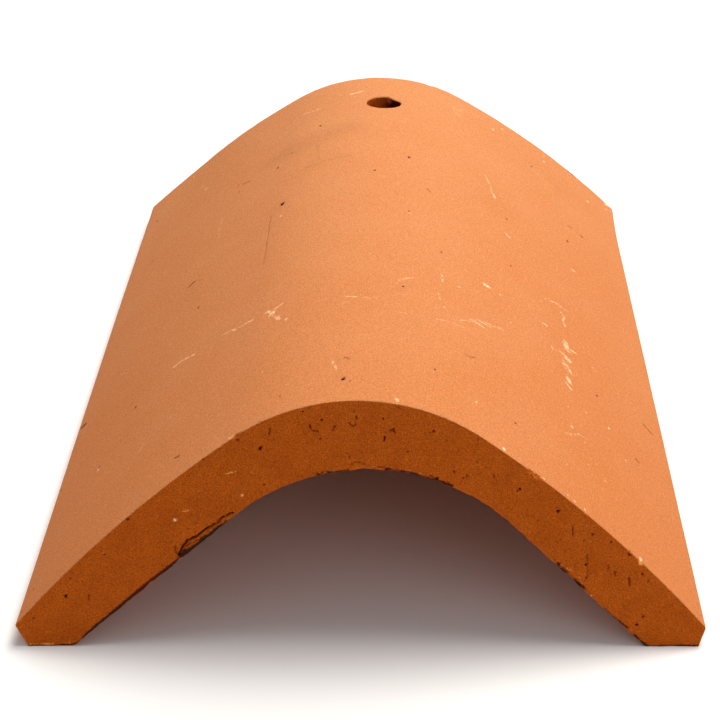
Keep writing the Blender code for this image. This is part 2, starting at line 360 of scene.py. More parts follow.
SCUFFS = (
    (((172.6, 367.7), (181, 361), (193.5, 354.6)), 1.1, 0.8),
    (((222, 335), (229, 331.5), (236, 328.5)), 0.8, 0.75), (((233, 331), (243, 325), (252, 320)), 0.9, 0.8),
    (((239, 301), (247.5, 296.5)), 0.6, 0.5),
    (((265.5, 313), (272, 311.5)), 0.7, 0.8), (((268, 311), (273, 313.5), (279, 318.5)), 1.5, 0.87),
    (((270, 316), (272, 311), (282, 303.5)), 0.8, 0.8), (((268.5, 317), (271, 313)), 0.6, 0.8),
    (((314, 301.5), (325, 299.5), (336, 297.6)), 0.6, 0.4),
    (((343, 296.2), (356, 296.6), (368, 297.4)), 0.9, 0.6),
    (((368, 298), (384, 298.4)), 0.6, 0.5),
    (((396, 294), (407, 295)), 0.6, 0.5),
    (((399, 280), (407, 278), (415, 278)), 0.8, 0.6),
    (((441, 271.5), (442.2, 276), (442.6, 282)), 0.7, 0.8),
    (((457, 285.7), (462.8, 288.3)), 0.8, 0.7),
    (((438.3, 293), (441, 301), (445, 308)), 0.55, 0.65),
    (((399, 311.8), (425, 316), (450, 321.5), (469, 330)), 0.5, 0.55),
    (((457, 320), (468, 320.5), (480, 323.5)), 0.5, 0.6), (((467, 318.8), (480, 321)), 0.5, 0.6),
    (((472, 320), (484, 327.5)), 0.8, 0.7), (((477, 319.5), (490, 326.5)), 0.9, 0.7),
    (((484, 321.5), (497, 328)), 0.8, 0.65), (((492, 325), (504, 330)), 0.6, 0.6),
    (((498, 328.5), (511, 334)), 0.5, 0.5),
    (((540.5, 301), (547, 309)), 0.6, 0.5),
    (((545, 298.6), (556, 303), (567.8, 311.4)), 0.7, 0.8),
    (((561, 312.4), (564.5, 317), (563, 321), (565.5, 326.8)), 0.8, 0.9),
    (((584.5, 295), (585.4, 314)), 0.5, 0.25),
    (((565.4, 342.5), (567, 349.5)), 2.7, 0.87), (((570, 349.5), (575.5, 353)), 1.0, 0.8),
    (((563, 354), (568.5, 360)), 2.8, 0.87), (((564.5, 363), (568.5, 370)), 2.8, 0.87),
    (((569.5, 369), (574, 376)), 0.6, 0.4), (((568.3, 378.5), (569.3, 382)), 2.2, 0.87),
    (((566.8, 383.5), (570.8, 388.7)), 1.4, 0.87), (((552, 346.5), (553, 349.5)), 0.9, 0.6),
    (((583, 345.5), (583.6, 348.5)), 0.6, 0.5), (((592.7, 368), (595.3, 371.8)), 0.8, 0.8),
    (((572.5, 390), (580, 396.7)), 0.5, 0.4), (((557, 355), (560, 358.5)), 0.6, 0.3),
    (((484.5, 174), (489.5, 184), (494, 196.8)), 0.7, 0.75), (((490.5, 191), (496, 196)), 0.6, 0.6),
    (((304, 114), (312, 111.5), (320, 108.5)), 1.1, 0.62),
    (((351, 94.2), (357, 92.6), (364, 90.2)), 1.2, 0.8), (((329, 98), (341, 95.5)), 0.9, 0.5),
    (((455, 108), (458, 115)), 3.2, 0.45), (((458, 115), (461, 109)), 1.6, 0.45),
    (((171, 410), (164, 417), (157.5, 425)), 1.6, 0.3), (((158, 429), (153, 433.5)), 1.0, 0.45),
    (((143.5, 444), (139.5, 451)), 1.2, 0.45),
    (((332.5, 361.5), (337, 370)), 0.8, 0.7),
    (((222, 219), (220, 227), (218, 238)), 0.9, 0.5),
    (((201, 185), (207, 189)), 2.0, 0.45),
    (((565, 433), (571, 434.3), (579, 434), (586, 439)), 0.8, 0.6),
    (((520, 425), (530, 430)), 0.6, 0.3),
    (((226, 473.8), (231, 472.6), (236, 471.5)), 0.6, 0.75), (((234, 475), (237.5, 476.5)), 0.4, 0.4),
    (((249, 472.8), (254.5, 470.3)), 0.6, 0.4), (((182.5, 511.8), (190.5, 510)), 0.45, 0.7),
    (((200, 438.8), (208, 437)), 0.5, 0.3), (((199, 440), (208, 436.5)), 0.5, 0.25),
    (((221, 443), (226, 440)), 0.8, 0.7), (((225, 440.5), (231, 437.5)), 0.9, 0.74),
    (((230, 437), (238, 432.5)), 1.0, 0.74), (((233, 438.5), (236, 436.5)), 0.6, 0.9),
    (((532.7, 474.6), (538, 477), (544.4, 478.8)), 1.0, 0.55),
    (((641, 558.5), (641, 564)), 1.1, 1.0),
    (((556, 561.5), (563, 566.5), (572, 571), (582, 580)), 1.0, 0.5),
    (((180, 555), (188, 546.5), (206, 533), (220, 524)), 0.6, 0.4),
    (((30, 644.3), (54, 643.9), (74, 642.3)), 0.75, 0.75),
    (((376, 466), (396, 468.5), (420, 473.5), (430, 478)), 0.9, 0.3),
    (((682, 532), (684.5, 536.5)), 0.8, 0.7), (((687, 548), (688.5, 552)), 0.6, 0.5),
    (((603.5, 203), (607, 205)), 1.3, 1.0), (((604, 208), (611, 210.5)), 1.6, 0.42),
    (((505.5, 233), (510.3, 237.7)), 0.7, 0.85), (((570.3, 268.5), (575, 271.5)), 0.8, 0.87),
    (((541, 321.5), (546.5, 325.5)), 0.9, 0.87), (((537, 304), (543, 312)), 0.5, 0.5),
    (((485.5, 285), (489, 287)), 1.8, 1.0), (((411, 236), (417, 237)), 0.4, 0.3),
)
SPECKS = (
    (459, 287, 0.5, 0.6), (500, 294.7, 0.5, 0.7), (511, 322.6, 0.4, 0.8), (487.4, 286.2, 0.8, 1.0),
    (397, 400, 0.8, 0.87), (476.3, 402, 0.4, 1.0), (504, 449, 0.7, 1.0),
    (571.9, 426.9, 0.6, 0.87), (609, 428.3, 0.5, 1.0), (586, 412.5, 0.45, 0.6), (589, 417, 0.35, 0.5),
    (605, 481, 0.4, 0.7), (588.8, 465, 0.35, 0.5), (574.5, 501.3, 0.5, 0.7), (568, 495, 0.4, 0.6),
    (585, 509.6, 0.5, 0.8), (98.4, 470, 0.5, 1.0), (175, 520.3, 0.8, 1.0), (242.3, 495.5, 0.6, 1.0),
    (671, 598.8, 0.35, 0.6), (494.3, 196.8, 0.8, 0.87), (641, 561.2, 0.9, 1.0),
    (274, 312, 0.8, 0.87), (286, 319.3, 0.6, 0.87), (281, 216, 0.6, 0.87), (369.7, 253.3, 0.5, 0.5),
    (543.7, 161.5, 0.6, 1.0), (543.7, 156, 0.5, 0.8), (587.6, 201.3, 0.6, 1.0), (493, 129.4, 0.7, 1.0),
    (502, 129, 0.7, 0.6), (409.6, 213, 0.4, 0.7), (192, 175.5, 0.5, 0.7), (245.7, 194.8, 0.4, 0.4),
    (262, 372, 0.4, 0.7), (200, 388.5, 0.35, 0.4), (591, 596, 0.5, 0.7), (147, 529.5, 0.3, 0.5),
    (557, 334, 0.3, 0.4), (538, 310, 0.4, 0.4), (528, 300, 0.3, 0.4), (626, 460.5, 0.5, 0.6),
    (616, 436, 0.35, 0.3), (560, 380, 0.3, 0.4), (430, 440, 0.25, 0.3), (220, 480, 0.25, 0.3),
    (568, 406.5, 0.5, 0.5), (571.5, 401, 0.5, 0.45), (584.8, 442.3, 0.4, 0.6), (597, 433, 0.35, 0.5),
    (554, 456, 0.35, 0.5), (566.5, 464.5, 0.4, 0.55), (596, 464, 0.35, 0.5), (617, 500, 0.4, 0.4),
    (480, 440, 0.35, 0.4), (640, 512, 0.35, 0.4), (655, 548, 0.35, 0.5), (620, 530, 0.35, 0.4),
)
# Knocks on the arrises of the two ends, as pixel, reach in millimetres and strength of the wear
ARRIS_KNOCKS = (
    (237, 436, 2.2, 0.9), (222, 443, 1.6, 0.5), (396, 401, 1.2, 0.5), (503.5, 448.6, 1.2, 0.5),
    (531, 471.5, 1.5, 1.0), (537, 476.5, 1.8, 1.0), (629.5, 554.5, 1.3, 1.0), (641, 561.5, 1.2, 0.7),
    (567, 488, 1.2, 0.6), (585, 509, 1.0, 0.5), (289, 415, 1.2, 0.5), (324, 475.5, 1.4, 0.9),
    (332, 475, 1.2, 0.3), (366, 470.5, 4.5, 0.55), (394, 471, 2.4, 0.7), (409, 474, 2.4, 0.55),
    (424, 478, 1.8, 0.35), (436, 482, 1.6, 0.35), (178, 560, 1.6, 0.5), (192, 550, 1.4, 0.3),
    (206, 540, 1.4, 0.3), (222, 528, 1.4, 0.3), (150, 583, 1.4, 0.4),
    (127, 603, 1.4, 0.4), (104, 622, 1.2, 0.3), (556, 563, 1.8, 0.6),
    (571, 577, 2.6, 1.0), (583, 589, 1.6, 0.5), (604, 608, 1.4, 0.3), (624, 627, 1.4, 0.3),
    (492, 508, 1.4, 0.4), (524, 533, 1.4, 0.4), (466, 494, 1.4, 0.2),
    (571, 172, 1.2, 0.4), (605.5, 203.5, 1.0, 0.4), (430, 86, 1.8, 0.5), (330, 83, 1.8, 0.4),
    (59.6, 488.8, 1.6, 0.7), (684, 534.4, 1.6, 0.7), (688, 550, 1.4, 0.6), (192, 174, 1.8, 0.5),
)

# The distance in millimetres that stands for any place past a mark's reach
FAR_OFF = 1000.0


def distance_to(places, samples, reach):
    """How far each place is from the nearest of some points, or far off where it is past the reach."""
    samples = np.atleast_2d(samples)
    near = np.all((places > samples.min(0) - reach) & (places < samples.max(0) + reach), axis=1)
    distance = np.full(len(places), FAR_OFF)
    if near.any():
        apart = places[near][:, None, :] - samples[None, :, :]
        distance[near] = np.sqrt((apart**2).sum(2)).min(1)
    return distance


pits = [(on_tile(across, down), radius, depth) for across, down, radius, depth in PITS]
smudges_and_painted_shade = [(along_marks(line), width, strength) for line, width, strength in SMUDGES_AND_PAINTED_SHADE]
gouges = [(along_marks(line), width, depth) for line, width, depth in GOUGES]
scuffs = [(along_marks(line), width, strength) for line, width, strength in SCUFFS]
specks = [(on_tile(across, down), radius, strength) for across, down, radius, strength in SPECKS]
knocks = [(on_tile(across, down), reach, wear) for across, down, reach, wear in ARRIS_KNOCKS]

# A corner whose share is nearer than this to 0 or 1 lies on that face of the slab. The middles of
# cells have a wider limit, so that the finest cells beside the tail face count with it.
AT_FACE = 0.0001
CELL_AT_FACE = 0.001

# The sides that the mesh's cells are to have, in millimetres
OUTSIDE_CELL = 1.7
INSIDE_CELL = 3.4
HEAD_END_CELL = 1.2
EAVE_CELL = 1.1
FOOT_CELL = 1.2
HOLE_TOP_CELL = 0.45
HOLE_UNDERSIDE_CELL = 0.9
TAIL_FACE_CELL = 0.5
TAIL_OUTSIDE_CELL = 0.4
TAIL_INSIDE_CELL = 0.7
TAIL_ARRIS_CELL = 0.3
KNOCK_CELL = 0.5
LINE_CELL = 0.32
SPOT_CELL = 0.25

# How far the finer cells reach, in millimetres, and on the tail face as shares of the wall
HEAD_END_REACH = 4.0
EAVE_REACH = 9.0
FOOT_REACH = 2.5
HOLE_REACH = 12.0
TAIL_OUTSIDE_REACH = 2.5
TAIL_INSIDE_REACH = 4.0
MARK_MARGIN = 0.3
TAIL_ARRIS_SHARES = (0.06, 0.93)

# How far round the marks is searched, and the strength above which a smudge is painted shade
# and needs finer cells
KNOCK_SEARCH = 4.0
MARK_SEARCH = 5.0
STRONG_PAINTED_SHADE = 0.5


def wanted_cell(shares, places, slack):
    """How fine the mesh has to be at each place: finest on the cut tail face and round the marks."""
    _, along, through = shares.T
    outside = through < CELL_AT_FACE
    inside = through > 1.0 - CELL_AT_FACE
    tail_face = along < CELL_AT_FACE
    from_tail = along * LENGTH
    from_head = (1.0 - along) * LENGTH
    cell = np.where(outside, OUTSIDE_CELL, INSIDE_CELL)
    cell[from_head < HEAD_END_REACH] = HEAD_END_CELL
    eave = (places[:, 2] < EAVE_REACH) & outside
    cell[eave] = np.minimum(cell[eave], EAVE_CELL)
    foot = places[:, 2] < FOOT_REACH
    cell[foot] = np.minimum(cell[foot], FOOT_CELL)
    hole_distance = np.hypot(places[:, 0] - NAIL_HOLE_OFFSET, places[:, 1] - hole_y)
    cell[outside & (hole_distance < HOLE_REACH)] = HOLE_TOP_CELL
    cell[inside & (hole_distance < HOLE_REACH)] = HOLE_UNDERSIDE_CELL
    cell[tail_face] = TAIL_FACE_CELL
    cell[outside & (from_tail < TAIL_OUTSIDE_REACH)] = TAIL_OUTSIDE_CELL
    cell[inside & (from_tail < TAIL_INSIDE_REACH)] = TAIL_INSIDE_CELL
    at_arris = (through < TAIL_ARRIS_SHARES[0]) | (through > TAIL_ARRIS_SHARES[1])
    cell[tail_face & at_arris] = TAIL_ARRIS_CELL
    for place, reach, _ in knocks:
        near = distance_to(places, place, reach + KNOCK_SEARCH) < reach + slack
        cell[near] = np.minimum(cell[near], KNOCK_CELL)
    for line, width, _ in gouges + scuffs + [mark for mark in smudges_and_painted_shade if mark[2] > STRONG_PAINTED_SHADE]:
        cell[distance_to(places, line, MARK_SEARCH) < width / 2.0 + MARK_MARGIN + slack] = LINE_CELL
    for place, radius, _ in pits + specks:
        cell[distance_to(places, place, MARK_SEARCH) < radius + MARK_MARGIN + slack] = SPOT_CELL
    return cell


# Each pass halves the sides that are still too long for their cell, with less slack round the marks
REFINING_SLACKS = (2.4, 1.2, 0.6, 0.3)
LONGEST_SIDE = 1.45

for slack in REFINING_SLACKS:
    shares = np.array([face.calc_center_median()[:] for face in shell.faces])
    wanted = wanted_cell(shares, clay_places(shares), slack)
    shell.verts.index_update()
    corner_places = clay_places(np.array([vertex.co[:] for vertex in shell.verts]))
    edges = set()
    for face, cell in zip(shell.faces, wanted):
        for edge in face.edges:
            first, second = edge.verts
            side = np.abs(corner_places[first.index] - corner_places[second.index]).max()
            if side > LONGEST_SIDE * cell:
                edges.add(edge)
    bmesh.ops.subdivide_edges(shell, edges=list(edges), cuts=1, use_grid_fill=True)

shell.verts.index_update()
shares = np.array([vertex.co[:] for vertex in shell.verts])
places = clay_places(shares)
across, along, through = shares.T
on_outside = through < AT_FACE
on_inside = through > 1.0 - AT_FACE
on_tail = along < AT_FACE
on_head = along > 1.0 - AT_FACE
on_foot = ((across < AT_FACE) | (across > 1.0 - AT_FACE)) & ~on_outside & ~on_inside

# How far each seed moves the noise along the three axes
SEED_SHIFTS = (7.31, 3.17, 5.53)


def clay_noise(points, size, seed):
    """Smooth noise from -1 to 1 with lumps of this size, in the units of the points."""
    shift = Vector([seed * part for part in SEED_SHIFTS])
    return np.array([noise.noise(Vector(point) / size + shift) for point in points])


def waves(points, *layers):
    """Noise in layers, each given as its height, the size of its lumps and its seed."""
    return sum(height * clay_noise(points, size, seed) for height, size, seed in layers)


def bowl(distance):
    """A rounded hollow over distances in radii: 1 in the middle, 0 from one radius on."""
    return np.clip(1.0 - distance**2, 0.0, 1.0)


# The arrises are not sharp: the clay drags and crumbles where the wire leaves it, most along the
# lower arris of the tail end, and knocks have worn them back in places.
OUTER_ARRIS_RADIUS = 0.2
INNER_ARRIS_RADIUS = 0.7
EAVE_ARRIS_RADIUS = 0.9
LEAST_ARRIS_RADIUS = 0.15
END_SHARE = 0.02
RAGGEDNESS = 0.10
LOW_SIDE_RAGGEDNESS = 0.45
KNOCK_RAGGEDNESS = 0.35
KNOCK_REACH = 1.6
KNOCK_ROUNDING = 1.7

on_skin = shares * (1, 1, 0)
wall = np.linalg.norm(clay_places(on_skin) - clay_places(on_skin + (0, 0, 1)), axis=1)
tail_y = -LENGTH / 2.0 + places[:, 2] * tan(TAIL_CUT_LEAN)
head_y = LENGTH / 2.0 - places[:, 2] * tan(HEAD_CUT_LEAN)
outer_inward = read_sections(inward, OUTER_SIDE, across, along)
inner_inward = read_sections(inward, INNER_SIDE, across, along)
blank = np.zeros(len(places))
tail_inward = np.array([0.0, cos(TAIL_CUT_LEAN), -sin(TAIL_CUT_LEAN)])
head_inward = np.array([0.0, -cos(HEAD_CUT_LEAN), -sin(HEAD_CUT_LEAN)])
# Each face of the tile, as how deep every place lies under it and the way into the clay
faces_inward = (
    (through * wall, np.stack([outer_inward[:, 0], blank, outer_inward[:, 1]], 1)),
    ((1.0 - through) * wall, np.stack([inner_inward[:, 0], blank, inner_inward[:, 1]], 1)),
    ((places[:, 1] - tail_y) * cos(TAIL_CUT_LEAN), tail_inward),
    ((head_y - places[:, 1]) * cos(HEAD_CUT_LEAN), head_inward),
    (places[:, 2], np.array([0.0, 0.0, 1.0])),
)
raggedness = waves(places, (1.0, 2.2, 1.0), (0.6, 0.9, 2.0))
# The lower arris's part in the wear: none at the outer skin, all at the inner, less at the feet
low_side = np.clip(through * 2.5 - 0.6, 0.0, 1.0) * np.clip(0.2 + places[:, 2] / 16.0, 0.0, 1.0)
radius = OUTER_ARRIS_RADIUS + (INNER_ARRIS_RADIUS - OUTER_ARRIS_RADIUS) * low_side
radius += raggedness * (RAGGEDNESS + LOW_SIDE_RAGGEDNESS * low_side)
between_ends = (along > END_SHARE) & (along < 1.0 - END_SHARE)
radius = np.where(between_ends, EAVE_ARRIS_RADIUS, np.maximum(radius, LEAST_ARRIS_RADIUS))
knocked = np.zeros(len(places))
for place, reach, wear in knocks:
    distance = distance_to(places, place, reach * KNOCK_REACH)
    distance *= 1.0 + KNOCK_RAGGEDNESS * raggedness
    knocked = np.maximum(knocked, wear * bowl(distance / reach))
radius += knocked * KNOCK_ROUNDING

# Where two faces meet, the places nearer to both than the radius are drawn back onto the arc
overlaps = [np.minimum(distance - radius, 0.0) for distance, _ in faces_inward]
overlap = np.sqrt(sum(part**2 for part in overlaps))
give = np.where(overlap > radius, 1.0 - radius / np.maximum(overlap, 0.001), 0.0)
for part, (_, direction) in zip(overlaps, faces_inward):
    places = places + direction * (-part * give)[:, None]

for vertex, place in zip(shell.verts, places):
    vertex.co = Vector(place)
bmesh.ops.recalc_face_normals(shell, faces=shell.faces)
if shell.calc_volume(signed=True) < 0.0:
    bmesh.ops.reverse_faces(shell, faces=shell.faces)
shell.normal_update()
normals = np.array([vertex.normal[:] for vertex in shell.verts])

# The skin was smoothed with a wet hand and is almost even; the cut ends keep the straight upright
# drag marks of the wire; the underside keeps the rough, lengthwise drag of the former.
SKIN_SINK = 0.03
CUT_SINK = 0.05
# How much of the way across, along and up still tells once the clay has been dragged
FINE_WIRE_DRAG = (1.0, 0.0, 0.02)
BROAD_WIRE_DRAG = (1.0, 0.0, 0.03)
FORMER_DRAG = 0.04

lift = waves(places, (0.06, 28.0, 3.0), (0.03, 6.0, 4.0)) - SKIN_SINK
lift += waves(places, (0.014, 1.3, 5.0))
drag = waves(places * FINE_WIRE_DRAG, (0.045, 1.1, 6.0))
drag += waves(places * BROAD_WIRE_DRAG, (0.07, 4.0, 7.0))
drag += waves(places, (0.035, 0.8, 8.0), (0.05, 2.6, 9.0)) - CUT_SINK
dragged = np.stack([across * TAIL_WIDTH, places[:, 1] * FORMER_DRAG, blank], 1)
rough = waves(dragged, (0.16, 3.0, 10.0)) + waves(places, (0.16, 9.0, 11.0))
lift = np.where(on_tail | on_head, drag, np.where(on_inside | on_foot, rough, lift))

grain = waves(places, (1.0, 0.7, 12.0), (0.5, 0.35, 13.0))
broken = waves(places, (1.0, 1.5, 14.0), (0.7, 0.55, 15.0))

# A spot within this many millimetres of the cut end lies on it, and smoothing drew the others out
CUT_END_DEPTH = 0.3
DRAWN_OUT = 0.55
# How steep the sides of dents are, the darkest that they get, and the relief of the pale marks
DENT_POWER = 0.7
MOST_DARKENING = 0.9
SCUFF_RELIEF = 0.03
SPECK_RELIEF = 0.06


def line_distance(line, width, reach, wobble):
    """Distances from a line in half widths, uneven with the grain, out to a reach in widths."""
    return distance_to(places, line, width * reach) / (width / 2.0) * (1.0 + wobble * grain)


def spot(place, size, wobble):
    """Whether a spot is on the cut end, and the distances from it in radii, uneven with the grain."""
    on_cut = place[1] < place[2] * tan(TAIL_CUT_LEAN) - LENGTH / 2.0 + CUT_END_DEPTH
    drawn_out = np.array([1.0, 1.0 if on_cut else DRAWN_OUT, 1.0])
    distance = distance_to(places * drawn_out, drawn_out * place[:], size * 2.0) / size
    return on_cut, distance * (1.0 + wobble * grain)


def fade(distance, start, slope):
    """A mark's colour over distances in radii: full in the middle, then falling to nothing."""
    return np.clip(start - slope * distance, 0.0, 1.0)


dark = np.zeros(len(places))
pale = np.zeros(len(places))
# Smudges darken the clay: faint stains, and at strengths above a half painted shade along the lower arrises
# and feet
for line, width, strength in smudges_and_painted_shade:
    distance = line_distance(line, width, reach=1.0, wobble=min(0.4, strength))
    dark = np.maximum(dark, np.minimum(strength * bowl(distance), 1.0))
# Pits and gouges are sunk into the clay and darkened inside, partly as dirt and partly as painted shade in
# the hollow
for place, size, depth in pits:
    on_cut, distance = spot(place, size, wobble=0.6)
    distance *= 1.2 if on_cut else 1.0
    lift -= depth * bowl(distance) ** DENT_POWER
    darkening = 0.3 + size * 0.9 if on_cut else min(MOST_DARKENING, size * 2.1)
    dark = np.maximum(dark, darkening * fade(distance, start=2.2, slope=1.8))
for line, width, depth in gouges:
    distance = line_distance(line, width, reach=2.0, wobble=0.4)
    lift -= depth * bowl(distance) ** DENT_POWER
    darkening = np.minimum(np.where(on_tail, 0.1 + depth * 0.7, depth * 1.8), MOST_DARKENING)
    dark = np.maximum(dark, darkening * fade(distance, start=1.8, slope=1.4))
for line, width, strength in scuffs:
    distance = line_distance(line, width, reach=2.0, wobble=0.6)
    mask = fade(distance, start=1.5, slope=1.0)
    mask = mask * np.clip(0.25 + 0.75 * strength + 1.5 * broken, 0.0, 1.0)
    lift += SCUFF_RELIEF * mask * grain
    pale = np.maximum(pale, strength * mask)
for place, size, strength in specks:
    mask = fade(spot(place, size, wobble=0.4)[1], start=1.5, slope=1.3)
    lift += SPECK_RELIEF * mask
    pale = np.maximum(pale, strength * mask)

# Towards the head end the left flank lies a little flatter and the right eave flares out and down.
# Each is given by its middle, how far it reaches, where it starts and over how much it grows.
FLAT_FLANK_X = -78.0
FLAT_FLANK_REACH = 16.0
FLAT_FLANK_START = 40.0
FLAT_FLANK_GROWTH = 100.0
FLAT_FLANK_DEPTH = 0.9
FLARE_X = 93.5
FLARE_Z = 4.0
FLARE_REACH = 9.0
FLARE_START = 112.0
FLARE_GROWTH = 36.0
FLARE_SIZE = 1.5
FLARE_POWER = 1.5
FLARE_DIRECTION = (0.75, 0.0, -0.66)

flatter = np.exp(-(((places[:, 0] - FLAT_FLANK_X) / FLAT_FLANK_REACH) ** 2))
flatter *= np.clip((places[:, 1] - FLAT_FLANK_START) / FLAT_FLANK_GROWTH, 0.0, 1.0)
lift -= np.where(on_outside, FLAT_FLANK_DEPTH * flatter, 0.0)
flare = np.exp(-np.hypot(places[:, 0] - FLARE_X, places[:, 2] - FLARE_Z) / FLARE_REACH)
flare *= FLARE_SIZE * np.clip((places[:, 1] - FLARE_START) / FLARE_GROWTH, 0.0, 1.0) ** FLARE_POWER
places = places + normals * lift[:, None] + flare[:, None] * FLARE_DIRECTION
low_corner = (-TAIL_WIDTH / 2.0, -LENGTH / 2.0, 0.0)
high_corner = (TAIL_WIDTH / 2.0, LENGTH / 2.0, TAIL_HEIGHT)
places = np.clip(places, low_corner, high_corner)
for vertex, place in zip(shell.verts, places):
    vertex.co = Vector(place) * MM

# How much of the fresh clay's colour shows: all on the cut ends, none on the smoothed skin
UNDERSIDE_FRESHNESS = 0.53
KNOCK_FRESHNESS = 0.8

mesh = bpy.data.meshes.new("clay_tile")
shell.to_mesh(mesh)
shell.free()
fresh = np.where(on_tail | on_head, 1.0, np.where(on_inside | on_foot, UNDERSIDE_FRESHNESS, 0.0))
fresh = np.where(on_outside, 0.0, fresh)
fresh = np.maximum(fresh, np.clip(knocked, 0.0, 1.0) * KNOCK_FRESHNESS)
for name, values in (("fresh_clay", fresh), ("stains_and_painted_shade", dark), ("pale_marks", pale)):
    layer = mesh.attributes.new(name, "FLOAT", "POINT")
    layer.data.foreach_set("value", values)
clay_tile = bpy.data.objects.new("clay_tile", mesh)
bpy.context.scene.collection.objects.link(clay_tile)

# The nail hole's punch is cut out of the clay. Its wall leaves a soft rim, and at the far side a
# lump of clay hangs where the punch tore it. Sizes are in millimetres and degrees round the hole.
TORN_RIM = (
    (0.0, 0.0), (18.0, -0.2), (35.0, -1.0), (54.0, -1.25), (62.0, -0.5), (75.0, 0.1), (100.0, 0.0),
    (170.0, 0.1), (250.0, 0.0), (305.0, 0.1), (318.0, -0.15), (326.0, 0.15), (342.0, -0.2), (360.0, 0.0),
)
LUMP_TURN = 66.0
LUMP_HALF_TURN = 17.0
LUMP_BELOW = 2.0
LUMP_HALF_HEIGHT = 1.6
LUMP_REACH = 2.0
RIM_STEPS = 96
WALL_INSET = 0.3
WALL_TOP = -0.7
WALL_RINGS = 31
WALL_RING_STEP = 0.6
TORN_RINGS = 7.0
# The wall's unevenness, as its height and how often it changes round the hole and down it
WALL_UNEVENNESS = ((0.16, 2.4, 0.4), (0.14, 7.0, 0.9))
STRAIGHT_DOWN = Vector((0.0, 0.0, -1.0))


def skin_height(x, y):
    """The height of the undisturbed crown over a place, in millimetres."""
    above = Vector((x * MM, y * MM, 1.0))
    return skin.ray_cast(above, STRAIGHT_DOWN)[0].z / MM


# The cut's profile, as how far out and how high each ring lies and how much of the tear it shows
profile = [(2.0, 4.0, 0.0), (0.95, 0.35, 0.3), (0.62, 0.05, 0.7), (0.3, -0.12, 1.0), (0.1, -0.35, 1.0)]
for step in range(WALL_RINGS):
    profile.append((0.0, WALL_TOP - WALL_RING_STEP * step, max(0.0, 1.0 - step / TORN_RINGS)))
profile += [(0.4, -19.5, 0.0), (2.2, -22.5, 0.0), (3.0, -34.0, 0.0)]
hole_cut = bmesh.new()
rings = []
for outward, rise, torn in profile:
    ring = []
    for step in range(RIM_STEPS):
        turn = 2.0 * pi * step / RIM_STEPS
        turn_degrees = step * 360.0 / RIM_STEPS
        tear = float(np.interp(turn_degrees, *zip(*TORN_RIM)))
        reach = NAIL_HOLE_DIAMETER / 2.0 - WALL_INSET + outward + tear * torn
        beside_lump = ((turn_degrees - LUMP_TURN) / LUMP_HALF_TURN) ** 2
        beside_lump += ((rise + LUMP_BELOW) / LUMP_HALF_HEIGHT) ** 2
        reach -= LUMP_REACH * max(0.0, 1.0 - beside_lump)
        for height, often_round, often_down in WALL_UNEVENNESS:
            place = (cos(turn) * often_round, sin(turn) * often_round, rise * often_down)
            reach += height * noise.noise(Vector(place))
        rim_x = NAIL_HOLE_OFFSET + cos(turn) * NAIL_HOLE_DIAMETER / 2.0
        rim_y = hole_y + sin(turn) * NAIL_HOLE_DIAMETER / 2.0
        top = skin_height(rim_x, rim_y)
        place = (NAIL_HOLE_OFFSET + cos(turn) * reach, hole_y + sin(turn) * reach, top + rise)
        ring.append(hole_cut.verts.new(Vector(place) * MM))
    rings.append(ring)
for upper, lower in zip(rings, rings[1:]):
    for step in range(RIM_STEPS):
        after = (step + 1) % RIM_STEPS
        hole_cut.faces.new((upper[step], lower[step], lower[after], upper[after]))
hole_cut.faces.new(rings[0])
hole_cut.faces.new(rings[-1][::-1])
bmesh.ops.recalc_face_normals(hole_cut, faces=hole_cut.faces)
cut_mesh = bpy.data.meshes.new("nail_hole_cut")
hole_cut.to_mesh(cut_mesh)
hole_cut.free()
cutter = bpy.data.objects.new("nail_hole_cut", cut_mesh)
bpy.context.scene.collection.objects.link(cutter)
punch = clay_tile.modifiers.new("nail_hole", "BOOLEAN")
punch.operation = "DIFFERENCE"
punch.solver = "EXACT"
punch.object = cutter
graph = bpy.context.evaluated_depsgraph_get()
mesh = bpy.data.meshes.new_from_object(clay_tile.evaluated_get(graph))
clay_tile.modifiers.clear()
clay_tile.data = mesh
mesh.name = "clay_tile"
bpy.data.objects.remove(cutter, do_unlink=True)

# Faces that meet at more than this angle are shaded as an edge
SHARP_EDGE_ANGLE = radians(42.0)
mesh.shade_smooth()
mesh.set_sharp_from_angle(angle=SHARP_EDGE_ANGLE)

# The hole's wall shows fresh clay from just below the skin; painted shade darkens its right side most
RIM_WIDTH = 1.2
FRESH_BELOW = 0.25
DARK_BELOW = 0.2
RIM_BLEND = 0.3
places = np.zeros(len(mesh.vertices) * 3)
mesh.vertices.foreach_get("co", places)
places = places.reshape(-1, 3) / MM
from_hole = np.hypot(places[:, 0] - NAIL_HOLE_OFFSET, places[:, 1] - hole_y)
in_hole = from_hole < NAIL_HOLE_DIAMETER / 2.0 + RIM_WIDTH
fresh = np.zeros(len(places))
dark = np.zeros(len(places))
mesh.attributes["fresh_clay"].data.foreach_get("value", fresh)
mesh.attributes["stains_and_painted_shade"].data.foreach_get("value", dark)
for index in np.nonzero(in_hole)[0]:
    below = skin_height(places[index, 0], places[index, 1]) - places[index, 2]
    side = (places[index, 0] - NAIL_HOLE_OFFSET) / NAIL_HOLE_DIAMETER
    shade = min(MOST_DARKENING, max(0.0, 0.2 + 3.0 * side))
    fresh[index] = min(1.0, max(0.0, (below - FRESH_BELOW) / RIM_BLEND))
    dark[index] = min(1.0, max(0.0, below - DARK_BELOW) / RIM_BLEND) * shade
mesh.attributes["fresh_clay"].data.foreach_set("value", fresh)
mesh.attributes["stains_and_painted_shade"].data.foreach_set("value", dark)

